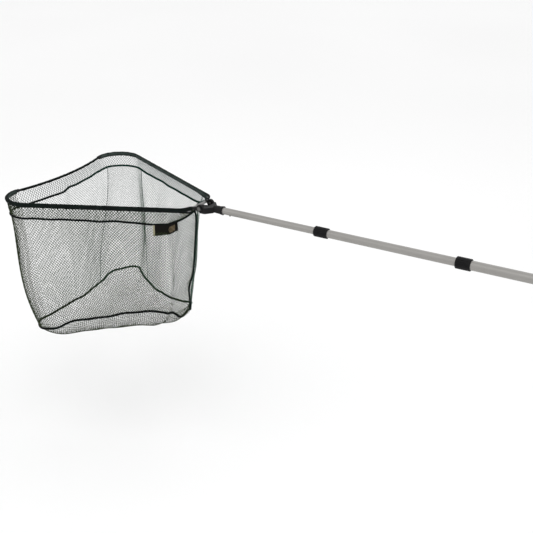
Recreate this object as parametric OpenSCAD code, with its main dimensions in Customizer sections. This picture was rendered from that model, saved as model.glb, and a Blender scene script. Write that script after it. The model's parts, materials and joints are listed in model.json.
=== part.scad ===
// Folding landing net on a three-section telescopic handle.
// +X runs along the handle to the butt, -Z is down into the net bag.
// The origin is on the handle's axis, in the middle of the hand grip.

/* [Handle tubes] */
// Outside diameter of the thin front tube, which carries the head
head_tube_d = 19; // [19:0.1:19.2]
// Outside diameter of the middle tube
middle_tube_d = 21.5; // [21.5:0.1:21.7]
// Outside diameter of the rear tube, which carries the hand grip
grip_tube_d = 24.5; // [24.5:0.1:24.7]
// Wall thickness of all three tubes
tube_wall = 1; // [0.9:0.05:1]
// Length of the front tube
head_tube_len = 390; // [370:5:400]
// Length of the middle tube
middle_tube_len = 448; // [435:1:455]
// Length of the rear tube
grip_tube_len = 470; // [465:1:480]
// Bare length of the front tube, from the fork to the front collar
head_show = 286; // [270:1:300]
// Bare length of the middle tube, from the front collar to the rear one
middle_show = 352; // [345:1:360]

/* [Twist locks] */
// Length of a lock collar
collar_len = 38.5; // [38:0.5:42]
// Ribs round a collar
collar_ribs = 18; // [12:1:22]

/* [Hand grip] */
// Length of the foam sleeve
sleeve_len = 260; // [240:5:270]
// Diameter of the foam sleeve
sleeve_d = 31; // [30:0.5:34]

/* [Fork and hinge] */
// Distance from the fork's shoulder forward to the hinge axis
hinge_ahead = 26; // [26:0.5:28]
// Height of the hinge axis above the handle's axis
hinge_up = 4; // [3.5:0.1:4.5]
// Half of the fork's width over its two prongs
fork_half = 29; // [28:0.5:29]
// Distance from the fork's shoulder back to the snap button
button_back = 55; // [50:1:60]

/* [Frame] */
// Angle of each arm to the handle's axis
arm_angle = 25.3; // [24:0.1:27]
// Length of an arm's straight run
arm_run = 438; // [380:1:460]
// Diameter of an arm's tube
arm_d = 8; // [7.8:0.1:8]
// Wall of an arm's tube
arm_wall = 1; // [0.8:0.1:1.2]
// Radius of the bend at a front corner, to the tube's middle
corner_r = 68; // [55:1:75]
// How far the front cord is pulled back in the middle
cord_sag = 23; // [15:1:30]

/* [Net bag] */
// Depth of the bag below the handle's axis, at the handle end
bag_depth = 313; // [250:1:340]
// Drop of the bag's bottom for each millimetre towards the front
bag_slope = 0.18; // [0.1:0.01:0.22]
// How far the bag's bottom sags below its seam
bag_sag = 34; // [20:1:40]
// Depth of the upper seam below the handle's axis
band_depth = 34; // [28:1:45]
// Thickness of the solids that stand for the netting
net_t = 2; // [1.6:0.1:2.4]

/* [Hidden] */
$fn = 64;

// Stations along the handle's axis
cap_len = 6;
butt_x = sleeve_len / 2 + cap_len;
grip_front_x = butt_x - cap_len - grip_tube_len;
lock_lap = 12.5;
rear_collar_x = grip_front_x - lock_lap;
front_collar_x = rear_collar_x - middle_show - collar_len;
middle_front_x = front_collar_x + lock_lap;
fork_end = 34;
shoulder_x = front_collar_x - head_show - fork_end;
head_front_x = shoulder_x + 7;
hinge_x = shoulder_x - hinge_ahead;
button_x = shoulder_x + button_back;

// Radii of the tubes
head_r = head_tube_d / 2;
middle_r = middle_tube_d / 2;
grip_r = grip_tube_d / 2;
slide_gap = 0.05;
turn_gap = 0.1;
bush_len = 24;
lip = 2.5;

// Colours
ALU = [0.70, 0.69, 0.67];
STEEL = [0.62, 0.62, 0.63];
BLACK = [0.07, 0.07, 0.075];
FOAM = [0.10, 0.10, 0.10];
CORD = [0.05, 0.07, 0.06];
HEM = [0.10, 0.15, 0.13];
NET = [0.30, 0.36, 0.32, 0.45];
TAG = [0.05, 0.05, 0.05];

// ---- small shapes along the handle ------------------------------------

// A cylinder whose axis is the handle's, from station x onwards
module along(x, r, len) {
  translate([x, 0, 0]) rotate([0, 90, 0]) cylinder(r = r, h = len);
}

// A pipe along the handle
module pipe(x, r_out, r_in, len) {
  difference() {
    along(x, r_out, len);
    along(x - 1, r_in, len + 2);
  }
}

// A profile of [distance along X, radius] turned round the handle's axis
module turned(x, profile) {
  translate([x, 0, 0]) rotate([0, 90, 0])
    rotate_extrude() polygon([for (p = profile) [p[1], p[0]]]);
}

// ---- twist locks --------------------------------------------------------

// Threaded socket pressed on the front end of the outer tube
module lock_socket(x, r_in, r_tube) {
  difference() {
    along(x + lock_lap, r_tube + 1.7, collar_len - lock_lap - 2);
    along(x, r_in + 0.25, collar_len);
    along(x + lock_lap + 1.5, r_tube, collar_len);
  }
}

// Split collet that grips the inner tube
module collet(x, r_in, r_tube) {
  slits = 3;
  difference() {
    turned(x + lip + 0.5, [
      [0, r_in + slide_gap], [0, r_in + 1.4], [4, r_tube + 1.5],
      [9, r_tube + 1.5], [9, r_in + slide_gap]
    ]);
    for (k = [0 : slits - 1]) rotate([360 / slits * k, 0, 0])
      translate([x, -0.75, 0]) cube([collar_len / 5 + 2, 1.5, r_tube + 5]);
  }
}

// Ribbed collar that turns on the socket and squeezes the collet
module lock_collar(x, r_in, r_tube) {
  r_bore = r_tube + 1.7 + turn_gap;
  r_out = r_bore + 1.4;
  rib_cut = 0.9;
  difference() {
    turned(x, [
      [0, r_in + 0.4], [0, r_out - 1.2], [1.2, r_out],
      [collar_len - 1, r_out], [collar_len, r_out - 1],
      [collar_len, r_bore], [lip, r_bore], [lip, r_in + 0.4]
    ]);
    for (k = [0 : collar_ribs - 1]) rotate([360 / collar_ribs * k, 0, 0])
      translate([x + 5, 0, r_out + 0.2]) rotate([0, 90, 0])
        cylinder(r = rib_cut, h = collar_len - 10, $fn = 16);
  }
}

// ---- rear section: the hand grip ---------------------------------------

module grip_tube() color(ALU)
  pipe(grip_front_x + 1.5, grip_r, grip_r - tube_wall, grip_tube_len - 1.5);

module grip_sleeve() color(FOAM)
  difference() {
    along(-sleeve_len / 2, sleeve_d / 2, sleeve_len);
    along(-sleeve_len, grip_r, sleeve_len * 2);
  }

module grip_ring() color(BLACK)
  turned(-sleeve_len / 2 - 9, [
    [0, grip_r], [0, grip_r + 1.2], [2, grip_r + 2.6],
    [7, sleeve_d / 2 + 0.8], [9, sleeve_d / 2 + 0.8], [9, grip_r]
  ]);

module end_cap() color(BLACK)
  difference() {
    turned(sleeve_len / 2 - 18, [
      [0, 0], [0, grip_r - tube_wall - 0.6], [2, grip_r - tube_wall],
      [18, grip_r - tube_wall], [18, sleeve_d / 2], [21, sleeve_d / 2],
      [24, sleeve_d / 2 - 3], [24, 0]
    ]);
    along(sleeve_len / 2 - 20, grip_r - tube_wall - 2, 17);
  }

module rear_lock_socket() color(BLACK)
  lock_socket(rear_collar_x, middle_r, grip_r);

module rear_collet() color(BLACK)
  collet(rear_collar_x, middle_r, grip_r);

module rear_lock_collar() color(BLACK)
  lock_collar(rear_collar_x, middle_r, grip_r);

// ---- middle section -------------------------------------------------------

module middle_tube() color(ALU)
  pipe(middle_front_x + 1.5, middle_r, middle_r - tube_wall,
       middle_tube_len - 1.5);

// Guide bush with a skirt in the tube and a ring that runs in the outer tube
module guide_bush(x_end, r_tube, r_outer_bore) {
  r_plug = r_tube - tube_wall;
  difference() {
    union() {
      along(x_end - bush_len / 2, r_plug, bush_len / 2 + 1);
      along(x_end, r_outer_bore - slide_gap, bush_len / 2);
    }
    along(x_end - bush_len, r_plug - 2, bush_len * 2);
  }
}

module middle_guide_bush() color(BLACK)
  guide_bush(middle_front_x + middle_tube_len, middle_r, grip_r - tube_wall);

module front_lock_socket() color(BLACK)
  lock_socket(front_collar_x, head_r, middle_r);

module front_collet() color(BLACK)
  collet(front_collar_x, head_r, middle_r);

module front_lock_collar() color(BLACK)
  lock_collar(front_collar_x, head_r, middle_r);

// ---- front section ---------------------------------------------------------

button_r = 3;

module head_tube() color(ALU)
  difference() {
    pipe(head_front_x, head_r, head_r - tube_wall, head_tube_len);
    translate([button_x, 0, -head_r * 2])
      cylinder(r = button_r + 0.3, h = head_r * 2);
  }

module head_guide_bush() color(BLACK)
  guide_bush(head_front_x + head_tube_len, head_r, middle_r - tube_wall);

// Fork: a sleeve and plug on the tube's end, two prongs and a resting nose
rivet_r = 2.5;
prong_t = 7;
prong_r = 10.5;
nose_half = 16;
nose_reach = 28;
plug_len = 72;

module fork_plan() {
  polygon([
    [6, -10], [6, 10], [-6, 24], [-11, fork_half], [-hinge_ahead, fork_half],
    [-hinge_ahead, fork_half - prong_t + 1], [-hinge_ahead - nose_reach, nose_half],
    [-hinge_ahead - nose_reach, -nose_half], [-hinge_ahead, prong_t - fork_half - 1],
    [-hinge_ahead, -fork_half], [-11, -fork_half], [-6, -24]
  ]);
}

module fork() color(BLACK)
  difference() {
    union() {
      // Y-shaped body, with the nose under the yoke plate
      translate([shoulder_x, 0, -9.5]) linear_extrude(17) fork_plan();
      // round ends of the two prongs
      for (s = [-1, 1]) translate([hinge_x, s * (fork_half - prong_t / 2), hinge_up])
        rotate([90, 0, 0]) cylinder(r = prong_r, h = prong_t, center = true);
      // sleeve over the tube, with its flared lip
      turned(shoulder_x + 5, [
        [0, 0], [0, 10.4], [20, 11.2], [24.5, 12.2], [29, 12.6], [29, 0]
      ]);
    }
    // seat of the tube, leaving the plug that goes inside it
    difference() {
      along(head_front_x, head_r, 100);
      along(head_front_x - 1, head_r - tube_wall - 0.05, 100);
    }
    // space over the nose for the yoke plate to swing up from
    translate([hinge_x - nose_reach - 4, prong_t - fork_half, -3.1])
      cube([nose_reach + 18, 2 * (fork_half - prong_t), 30]);
    // holes for the two pivot rivets
    translate([hinge_x, 0, hinge_up]) rotate([90, 0, 0])
      cylinder(r = rivet_r, h = 4 * fork_half, center = true);
    // slot for the button's spring, and the button's bore
    translate([button_x - 14, -4, -head_r * 2])
      cube([30, 8, head_r * 2 + 3]);
    translate([shoulder_x + plug_len, -20, -20]) cube([60, 40, 40]);
  }

// One rivet for each prong, with a domed outer head and a flat inner one
module pivot_rivets() color(STEEL)
  for (s = [-1, 1]) translate([hinge_x, s * (fork_half + 4.7), hinge_up])
    rotate([s * 90, 0, 0]) rotate_extrude() polygon([
      [0, -2], [2.4, -1.8], [4, -0.8], [4.4, 0], [rivet_r, 0],
      [rivet_r, prong_t + 4.8], [4, prong_t + 4.8], [3.6, prong_t + 6],
      [0, prong_t + 6]
    ]);

module rivet_washers() color(STEEL)
  for (s = [-1, 1]) translate([hinge_x, s * (fork_half + 4.1), hinge_up])
    rotate([90, 0, 0]) difference() {
      cylinder(r = 5.6, h = 1, center = true);
      cylinder(r = rivet_r + 0.05, h = 3, center = true);
    }

// Snap button: a domed pin that stands out under the tube
module snap_button() color(STEEL)
  translate([button_x, 0, -head_r - 3]) rotate_extrude() polygon([
    [0, 0], [1.8, 0.3], [2.7, 1.2], [button_r, 2.2], [button_r, 6.5], [0, 6.5]
  ]);

// Leaf spring folded in a V inside the plug, above the button
module button_spring() color(STEEL)
  translate([button_x, 3, -5.7]) rotate([90, 0, 0]) linear_extrude(6)
    polygon([
      [-3, 0], [4, 0], [12.5, 6], [12.5, 6.8], [-12, 8.2], [-12, 7.4],
      [11, 6.1], [3.7, 0.8], [-3, 0.8]
    ]);

// ---- frame ------------------------------------------------------------------

frame_z = hinge_up;
arm_r = arm_d / 2;
eye_gap = 0.4;
eye_t = 3;
tongue_y = fork_half + eye_gap + eye_t / 2;
tongue_len = 12;
// where the tube becomes round, and the corner point of the inner bend
tube_start = [hinge_x - 20, tongue_y + 5];
elbow = [hinge_x - 34, 66];
elbow_r = 18;
inner_angle = atan2(elbow.y - tube_start.y, elbow.x - tube_start.x);
main_angle = 180 - arm_angle;
elbow_turn = main_angle - inner_angle;
elbow_t = elbow_r * tan(elbow_turn / 2);
function heading(a) = [cos(a), sin(a)];
bend_start = elbow - elbow_t * heading(inner_angle);
bend_centre = bend_start + elbow_r * heading(inner_angle + 90);
run_start = elbow + elbow_t * heading(main_angle);
corner_start = run_start + arm_run * heading(main_angle);
corner_centre = corner_start + corner_r * heading(main_angle + 90);
tip_lead = 8;
corner_turn = 90 + arm_angle + tip_lead;
function corner_point(t) =
  corner_centre + corner_r * heading(main_angle - 90 + t);
tip = corner_point(corner_turn);

// A pipe from plan point p towards angle a, at the frame's height. It runs on
// by the weld into the bend that follows, and its wall is a skin thinner than
// the bend's on both sides, so the two join cleanly into one tube.
weld = 0.3;
skin = 0.03;
module leg(p, a, len, r_out, r_in) {
  translate([p.x, p.y, frame_z]) rotate([0, 0, a]) rotate([0, 90, 0])
    difference() {
      cylinder(r = r_out - skin, h = len + weld);
      if (r_in > 0) translate([0, 0, -1]) cylinder(r = r_in + skin, h = len + 2);
    }
}

// A bent pipe round plan point c, from angle a through turn
module bend(c, big_r, a, turn, r_out, r_in) {
  translate([c.x, c.y, frame_z]) rotate([0, 0, a])
    rotate_extrude(angle = turn) translate([big_r, 0]) difference() {
      circle(r = r_out, $fn = 32);
      if (r_in > 0) circle(r = r_in, $fn = 32);
    }
}

// The far arm; the near one is its mirror image
yoke_hole = tube_start + 12 * heading(inner_angle);
module arm() {
  r_in = arm_r - arm_wall;
  difference() {
    union() {
      leg(tube_start, inner_angle, norm(bend_start - tube_start), arm_r, r_in);
      bend(bend_centre, elbow_r, inner_angle - 90, elbow_turn, arm_r, r_in);
      leg(run_start - weld * heading(main_angle), main_angle, arm_run + weld,
          arm_r, r_in);
      bend(corner_centre, corner_r, main_angle - 90, corner_turn, arm_r, r_in);
      // the tube's end, pressed flat into a tongue
      hull() {
        translate([hinge_x - tongue_len - 1, tongue_y - eye_t / 2, frame_z - arm_r])
          cube([1, eye_t, arm_d]);
        leg(tube_start, inner_angle, 1, arm_r, 0);
      }
      translate([hinge_x - tongue_len - 1, tongue_y - eye_t / 2, frame_z - arm_r])
        cube([tongue_len + 1, eye_t, arm_d]);
      // the eye for the pivot rivet
      translate([hinge_x, tongue_y, frame_z]) rotate([90, 0, 0])
        cylinder(r = 7, h = eye_t, center = true);
    }
    translate([hinge_x, tongue_y, frame_z]) rotate([90, 0, 0])
      cylinder(r = rivet_r + slide_gap, h = 10, center = true);
    translate([yoke_hole.x, yoke_hole.y, 0]) cylinder(r = 2, h = 30, center = true);
  }
}

module far_arm() color(ALU) arm();
module near_arm() color(ALU) mirror([0, 1, 0]) arm();

// Cross strip that ties the two arms just ahead of the fork
yoke_t = 2.6;
module yoke_plate() color(STEEL)
  translate([yoke_hole.x, 0, -yoke_t / 2 - 0.3]) difference() {
    hull() for (s = [-1, 1]) translate([0, s * yoke_hole.y, 0])
      cylinder(r = 6.2, h = yoke_t, center = true, $fn = 32);
    for (s = [-1, 1]) translate([0, s * yoke_hole.y, 0])
      cylinder(r = 2, h = 10, center = true);
  }

module yoke_rivets() color(STEEL)
  for (s = [-1, 1]) translate([yoke_hole.x, s * yoke_hole.y, 0])
    rotate_extrude() polygon([
      [0, -yoke_t - 1.9], [3, -yoke_t - 1.7], [3.6, -yoke_t - 0.3],
      [2, -yoke_t - 0.3], [2, frame_z + arm_r + 0.1],
      [3.4, frame_z + arm_r + 0.1], [2.6, frame_z + arm_r + 1.4],
      [0, frame_z + arm_r + 1.7]
    ]);

// Plugs in the arms' ends, through which the front cord is knotted
tip_len = 10;
tip_head = heading(main_angle + corner_turn);
cord_r = 2;
module tip_plug()
  translate([tip.x, tip.y, frame_z]) rotate([0, 0, main_angle + corner_turn])
    rotate([0, 90, 0]) rotate_extrude() polygon([
      [0, -8], [arm_r - arm_wall, -8], [arm_r - arm_wall, 0], [5, 0],
      [5, tip_len - 2], [3.6, tip_len], [0, tip_len]
    ]);
module arm_tips() color(BLACK) {
  tip_plug();
  mirror([0, 1, 0]) tip_plug();
}

// Front cord: one flat arc from tip to tip
cord_end = tip + tip_len * tip_head + [0.1, 0];
cord_R = (pow(cord_end.y, 2) + pow(cord_sag, 2)) / (2 * cord_sag);
cord_half = asin(cord_end.y / cord_R);
cord_mid_x = cord_end.x + cord_sag;
cord_centre = [cord_mid_x - cord_R, 0];
module front_arc(r_out, r_in, trim)
  bend(cord_centre, cord_R, -cord_half + trim, 2 * (cord_half - trim),
       r_out, r_in, $fn = 360);

module front_cord() color(CORD) front_arc(cord_r, 0, 0.08);
module front_hem() color(HEM) front_arc(cord_r + 1.3, cord_r + 0.3, 0.5);

// Folded cloth sleeve that carries the netting on an arm
hem_in = arm_r + 0.3;
hem_out = arm_r + 1.5;
hem_from = 20;
module arm_hem() {
  leg(tube_start + hem_from * heading(inner_angle), inner_angle,
      norm(bend_start - tube_start) - hem_from, hem_out, hem_in);
  bend(bend_centre, elbow_r, inner_angle - 90, elbow_turn, hem_out, hem_in);
  leg(run_start - weld * heading(main_angle), main_angle, arm_run + weld,
      hem_out, hem_in);
  bend(corner_centre, corner_r, main_angle - 90, corner_turn - 1,
       hem_out, hem_in);
}
module far_hem() color(HEM) arm_hem();
module near_hem() color(HEM) mirror([0, 1, 0]) arm_hem();

// ---- net bag ------------------------------------------------------------

// The bag hangs from an outline that follows the frame in plan, and its foot
// is that outline moved and squeezed a little, as the bag hangs in use.
net_top_z = frame_z - hem_out - 0.6;
end_top_z = -9;
end_x = hinge_x - 36;
foot_x0 = end_x - 4;
function foot_plan(p) = [
  foot_x0 + 0.933 * (p.x - end_x) - 0.1255 * p.y,
  -45 - 0.113 * (p.x - end_x) + 0.971 * p.y
];
function foot_z(p) = -bag_depth + bag_slope * (p.x - foot_x0);
function foot(p) = let (q = foot_plan(p)) [q.x, q.y, foot_z(q)];
function at_end(p) = p.x > end_x - 6;
function head_of(p) = [p.x, p.y, at_end(p) ? end_top_z : net_top_z];
function flip(p) = [p.x, -p.y];
function mix(a, b, t) = a + (b - a) * t;
function reversed(v) = [for (i = [len(v) - 1 : -1 : 0]) v[i]];

// Plan outline of each panel, from the handle end round by the near side
gap = 0.8;
corner_steps = 6;
front_steps = 8;
far_side = [
  corner_start - gap * heading(main_angle),
  run_start + 60 * heading(main_angle),
  run_start + 14 * heading(main_angle), [end_x - 5, 34], [end_x, gap]
];
near_side = [for (p = reversed(far_side)) flip(p)];
far_corner = [for (k = [corner_steps : -1 : 0])
  corner_point(0.7 + (corner_turn - 1.4) * k / corner_steps)];
near_corner = [for (p = reversed(far_corner)) flip(p)];
function front_point(t) =
  cord_centre + cord_R * heading(t * (cord_half - 0.1));
front_side = concat(
  [flip(tip + 2 * tip_head)],
  [for (k = [1 : front_steps - 1]) front_point(-1 + 2 * k / front_steps)],
  [tip + 2 * tip_head]
);

// Direction that points out of the bag at point i of an outline
function outward(v, i) =
  let (a = v[max(i - 1, 0)], b = v[min(i + 1, len(v) - 1)], d = b - a)
  [-d.y, d.x, 0] / norm([d.x, d.y]);

// Closed wall between the hem and the foot of the bag
module wall(plan) {
  n = len(plan);
  foot_gap = [0, 0, 3];
  points = [for (i = [0 : n - 1]) for (s = [0.5, -0.5]) for (low = [false, true])
    (low ? foot(plan[i]) + foot_gap : head_of(plan[i]))
      + s * net_t * outward(plan, i)];
  function quad(a, b, c, d) = [[a, b, c], [a, c, d]];
  faces = [for (f = concat(
    [for (i = [0 : n - 2]) let (j = 4 * i, k = 4 * i + 4) concat(
      quad(j, j + 1, k + 1, k), quad(j + 2, k + 2, k + 3, j + 3),
      quad(j, k, k + 2, j + 2), quad(j + 1, j + 3, k + 3, k + 1))],
    [quad(0, 2, 3, 1)],
    [let (e = 4 * n - 4) quad(e, e + 1, e + 3, e + 2)]
  )) each f];
  polyhedron(points, faces);
}

module near_side_net() color(NET) wall(near_side);
module near_corner_net() color(NET) wall(near_corner);
module front_net() color(NET) wall(front_side);
module far_corner_net() color(NET) wall(far_corner);
module far_side_net() color(NET) wall(far_side);

// Whole outline, closed, and the foot's outline
ring = concat(near_side, near_corner, front_side, far_corner, far_side);

// Bottom panel, a shallow dish inside the foot's outline
dish_middle = [foot_x0 - 225, -18];
module bottom_net() color(NET) dish_panel();
module dish_panel() {
  n = len(ring);
  function dish(q, share, drop, side) =
    let (r = mix(dish_middle, q, share)) [r.x, r.y, foot_z(r) - drop + side * net_t / 2];
  points = concat(
    [for (p = ring) let (q = foot_plan(p)) each [
      dish(q, 0.978, 0, 1), dish(q, 0.978, 0, -1),
      dish(q, 0.62, bag_sag * 0.85, 1), dish(q, 0.62, bag_sag * 0.85, -1)]],
    [dish(dish_middle, 0, bag_sag, 1), dish(dish_middle, 0, bag_sag, -1)]
  );
  function quad(a, b, c, d) = [[a, b, c], [a, c, d]];
  faces = [for (i = [0 : n - 1]) let (j = 4 * i, k = 4 * ((i + 1) % n)) each concat(
    quad(j, k, k + 2, j + 2), quad(k + 1, j + 1, j + 3, k + 3), quad(k, j, j + 1, k + 1),
    [[j + 2, k + 2, 4 * n]], [[k + 3, j + 3, 4 * n + 1]])];
  polyhedron(points, faces);
}

// Round cord swept along a list of points, as one closed loop or an open run
cord_sides = 8;
module swept(path, r, loop) {
  n = len(path);
  function at(i) = path[loop ? (i + n) % n : min(max(i, 0), n - 1)];
  points = [for (i = [0 : n - 1])
    let (d = at(i + 1) - at(i - 1), t = d / norm(d),
         up = abs(t.z) > 0.9 ? [1, 0, 0] : [0, 0, 1],
         u = cross(t, up) / norm(cross(t, up)), v = cross(u, t))
    for (k = [0 : cord_sides - 1])
      at(i) + r * (cos(360 * k / cord_sides) * u + sin(360 * k / cord_sides) * v)];
  last = loop ? n - 1 : n - 2;
  tube = [for (i = [0 : last]) for (k = [0 : cord_sides - 1])
    let (a = i * cord_sides + k, b = i * cord_sides + (k + 1) % cord_sides,
         c = ((i + 1) % n) * cord_sides + (k + 1) % cord_sides,
         d = ((i + 1) % n) * cord_sides + k)
    each [[a, c, b], [a, d, c]]];
  ends = loop ? [] : [
    [for (k = [0 : cord_sides - 1]) k],
    [for (k = [cord_sides - 1 : -1 : 0]) (n - 1) * cord_sides + k]
  ];
  polyhedron(points, concat(tube, ends));
}

seam_r = 2.2;
// Upper seam: a cord outside the walls, which rises to the fork
seam_out = net_t / 2 + seam_r + 0.7;
function seam_z(p) = at_end(p) ? end_top_z - 6 : -band_depth;
function seam_point(v, i) =
  let (p = v[i], a = head_of(p), b = foot(p),
       t = (seam_z(p) - a.z) / (b.z - a.z))
  mix(a, b, t) + seam_out * outward(v, i);
module upper_seam_cord() color(CORD)
  swept([for (v = [near_side, near_corner, front_side, far_corner, far_side])
    for (i = [0 : len(v) - 1]) if (!(v == front_side
      && (i == 0 || i == len(v) - 1))) seam_point(v, i)], seam_r, true);

// Lower seam: a cord round the foot of the bag
module lower_seam_cord() color(CORD)
  swept([for (p = ring) foot(p)], seam_r, true);

// Upright seams: a thick one at the handle end and thin ones at the corners
module upright(v, i, r, out) {
  p = v[i];
  a = head_of(p) + out * outward(v, i);
  b = foot(p) + out * outward(v, i);
  t_top = (seam_z(p) - 4.5 - a.z) / (b.z - a.z);
  t_low = (b.z + 6 - a.z) / (b.z - a.z);
  swept([for (k = [0 : 4]) mix(a, b, mix(t_top, t_low, k / 4))], r, false);
}
thick_r = 1.8;
thin_r = 0.8;
module upright_seams() color(CORD) {
  upright([[end_x, gap], [end_x, 0], [end_x, -gap]], 1, thick_r,
          net_t / 2 + thick_r + 0.4);
  for (v = [near_corner, far_corner]) for (i = [0, len(v) - 1])
    upright(v, i, thin_r, net_t / 2 + thin_r + 0.3);
}

// Cloth tag that hangs from the upper seam on the near side
tag_len = 72;
tag_drop = 27;
tag_from = 24;
tag_back = 26;
tag_out = 4.4;
module label_tag() color(TAG) {
  p = run_start + tag_from * heading(main_angle);
  a = seam_line(p);
  b = seam_line(p + tag_len * heading(main_angle));
  yaw = atan2(b.y - a.y, b.x - a.x);
  translate([a.x, a.y, -band_depth - seam_r - 0.6]) rotate([0, 0, yaw])
    translate([-tag_back, tag_out, -tag_drop]) cube([tag_len, 1, tag_drop]);
}
// Point of the near wall just below the seam, above plan point p of the frame
function seam_line(p) =
  let (q = flip(p), a = head_of(q), b = foot(q),
       t = (-band_depth - a.z) / (b.z - a.z)) mix(a, b, t);

grip_tube();
grip_sleeve();
grip_ring();
end_cap();
rear_lock_socket();
rear_collet();
rear_lock_collar();
middle_tube();
middle_guide_bush();
front_lock_socket();
front_collet();
front_lock_collar();
head_tube();
head_guide_bush();
fork();
pivot_rivets();
rivet_washers();
button_spring();
snap_button();
near_arm();
far_arm();
arm_tips();
yoke_plate();
yoke_rivets();
front_cord();
near_hem();
far_hem();
front_hem();
near_side_net();
far_side_net();
near_corner_net();
far_corner_net();
front_net();
bottom_net();
upper_seam_cord();
lower_seam_cord();
upright_seams();
label_tag();
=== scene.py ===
"""Looks of the folding landing net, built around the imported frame. Metres throughout."""
import json
import math

import bpy
import numpy as np
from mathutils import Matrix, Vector


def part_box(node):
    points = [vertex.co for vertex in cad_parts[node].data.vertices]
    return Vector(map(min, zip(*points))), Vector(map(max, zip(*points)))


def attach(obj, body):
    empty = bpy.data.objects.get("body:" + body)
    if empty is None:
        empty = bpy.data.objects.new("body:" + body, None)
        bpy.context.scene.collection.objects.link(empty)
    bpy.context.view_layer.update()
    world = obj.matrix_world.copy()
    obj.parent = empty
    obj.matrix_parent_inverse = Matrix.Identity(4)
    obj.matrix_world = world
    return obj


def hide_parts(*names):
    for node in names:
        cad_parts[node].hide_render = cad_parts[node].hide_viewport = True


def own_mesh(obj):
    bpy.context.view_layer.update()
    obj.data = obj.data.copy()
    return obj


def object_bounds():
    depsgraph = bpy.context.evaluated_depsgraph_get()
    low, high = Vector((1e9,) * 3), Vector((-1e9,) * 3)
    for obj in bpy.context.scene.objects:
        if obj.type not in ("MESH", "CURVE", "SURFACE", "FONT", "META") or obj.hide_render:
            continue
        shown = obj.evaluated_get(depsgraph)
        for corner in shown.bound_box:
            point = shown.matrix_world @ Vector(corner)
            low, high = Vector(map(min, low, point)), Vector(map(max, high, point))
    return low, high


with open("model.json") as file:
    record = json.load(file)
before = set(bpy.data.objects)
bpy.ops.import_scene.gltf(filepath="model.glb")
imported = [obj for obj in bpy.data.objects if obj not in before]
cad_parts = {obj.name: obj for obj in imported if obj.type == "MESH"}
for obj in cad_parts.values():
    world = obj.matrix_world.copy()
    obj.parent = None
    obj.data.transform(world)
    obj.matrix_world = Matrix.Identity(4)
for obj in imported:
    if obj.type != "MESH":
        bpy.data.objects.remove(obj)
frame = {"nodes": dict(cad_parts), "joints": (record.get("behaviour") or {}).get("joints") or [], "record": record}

cad_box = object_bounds()

# ---- places taken from the frame -----------------------------------------------

JOINTS = {j["name"]: j for j in frame["joints"]}
HINGE = Vector(JOINTS["head_fold"]["pos_m"])
FRAME_Z = HINGE.z
FORK_SHOULDER = Vector((HINGE.x + 0.026, 0, 0))

# ---- camera --------------------------------------------------------------------

VIEW_AZIMUTH = math.radians(30.99)
VIEW_ELEVATION = math.radians(24.16)
VIEW_FROM_SHOULDER = Vector((1.4592, -2.1437, 0.9856))
FOCAL_MM = 67.54
SENSOR_MM = 36.0
CLIP_END = 60.0


def make_camera():
    data = bpy.data.cameras.new("camera")
    data.lens = FOCAL_MM
    data.sensor_width = SENSOR_MM
    data.clip_end = CLIP_END
    camera = bpy.data.objects.new("camera", data)
    bpy.context.scene.collection.objects.link(camera)
    camera.location = FORK_SHOULDER + VIEW_FROM_SHOULDER
    camera.rotation_euler = (math.pi / 2 - VIEW_ELEVATION, 0, VIEW_AZIMUTH)
    bpy.context.scene.camera = camera


make_camera()

# ---- outline of the net's mouth, in plan ---------------------------------------

# The far arm, from its tongue to its tip; the near arm is its mirror image
TUBE_START = np.array([HINGE.x - 0.020, 0.0359])
ELBOW = np.array([HINGE.x - 0.034, 0.066])
ELBOW_R = 0.018
ARM_ANGLE = math.radians(25.3)
ARM_HEADING = math.pi - ARM_ANGLE
ARM_RUN = 0.438
CORNER_R = 0.068
CORNER_TURN = math.pi / 2 + ARM_ANGLE + math.radians(8)
# The front cord, from plugs that stand out of the arms' tips
TIP_LEN = 0.010
CORD_SAG = 0.023
# The handle end of the bag, at its mouth and at its foot
END_X = HINGE.x - 0.036
FOOT_X = END_X - 0.004


def heading(angle):
    """Unit vector in plan, angle from +X towards +Y."""
    return np.array([math.cos(angle), math.sin(angle)])


def arm_lines():
    """Where the far arm's straight run starts and where its corner bend has its centre."""
    rise = ELBOW - TUBE_START
    turn = ARM_HEADING - math.atan2(rise[1], rise[0])
    start = ELBOW + ELBOW_R * math.tan(turn / 2) * heading(ARM_HEADING)
    corner = start + ARM_RUN * heading(ARM_HEADING)
    centre = corner + CORNER_R * heading(ARM_HEADING + math.pi / 2)
    return start, corner, centre


RUN_START, CORNER_START, CORNER_CENTRE = arm_lines()


def corner_point(turn):
    """A point of the far arm's front bend, after turn radians of it."""
    return CORNER_CENTRE + CORNER_R * heading(ARM_HEADING - math.pi / 2 + turn)


TIP = corner_point(CORNER_TURN)
CORD_END = TIP + TIP_LEN * heading(ARM_HEADING + CORNER_TURN)
CORD_R = (CORD_END[1] ** 2 + CORD_SAG ** 2) / (2 * CORD_SAG)
CORD_HALF = math.asin(CORD_END[1] / CORD_R)
CORD_CENTRE = np.array([CORD_END[0] + CORD_SAG - CORD_R, 0.0])


def mirrored(points):
    """Plan points on the other side of the handle, in the opposite order."""
    return (np.asarray(points) * [1, -1])[::-1]


def resampled(points, count, closed=False):
    """count points at even steps along a line of plan or space points."""
    points = np.asarray(points, float)
    if closed:
        points = np.vstack([points, points[:1]])
    steps = np.linalg.norm(np.diff(points, axis=0), axis=1)
    along = np.concatenate([[0], np.cumsum(steps)])
    at = np.linspace(0, along[-1], count, endpoint=not closed)
    return np.stack([np.interp(at, along, points[:, k]) for k in range(points.shape[1])], 1)


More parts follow.
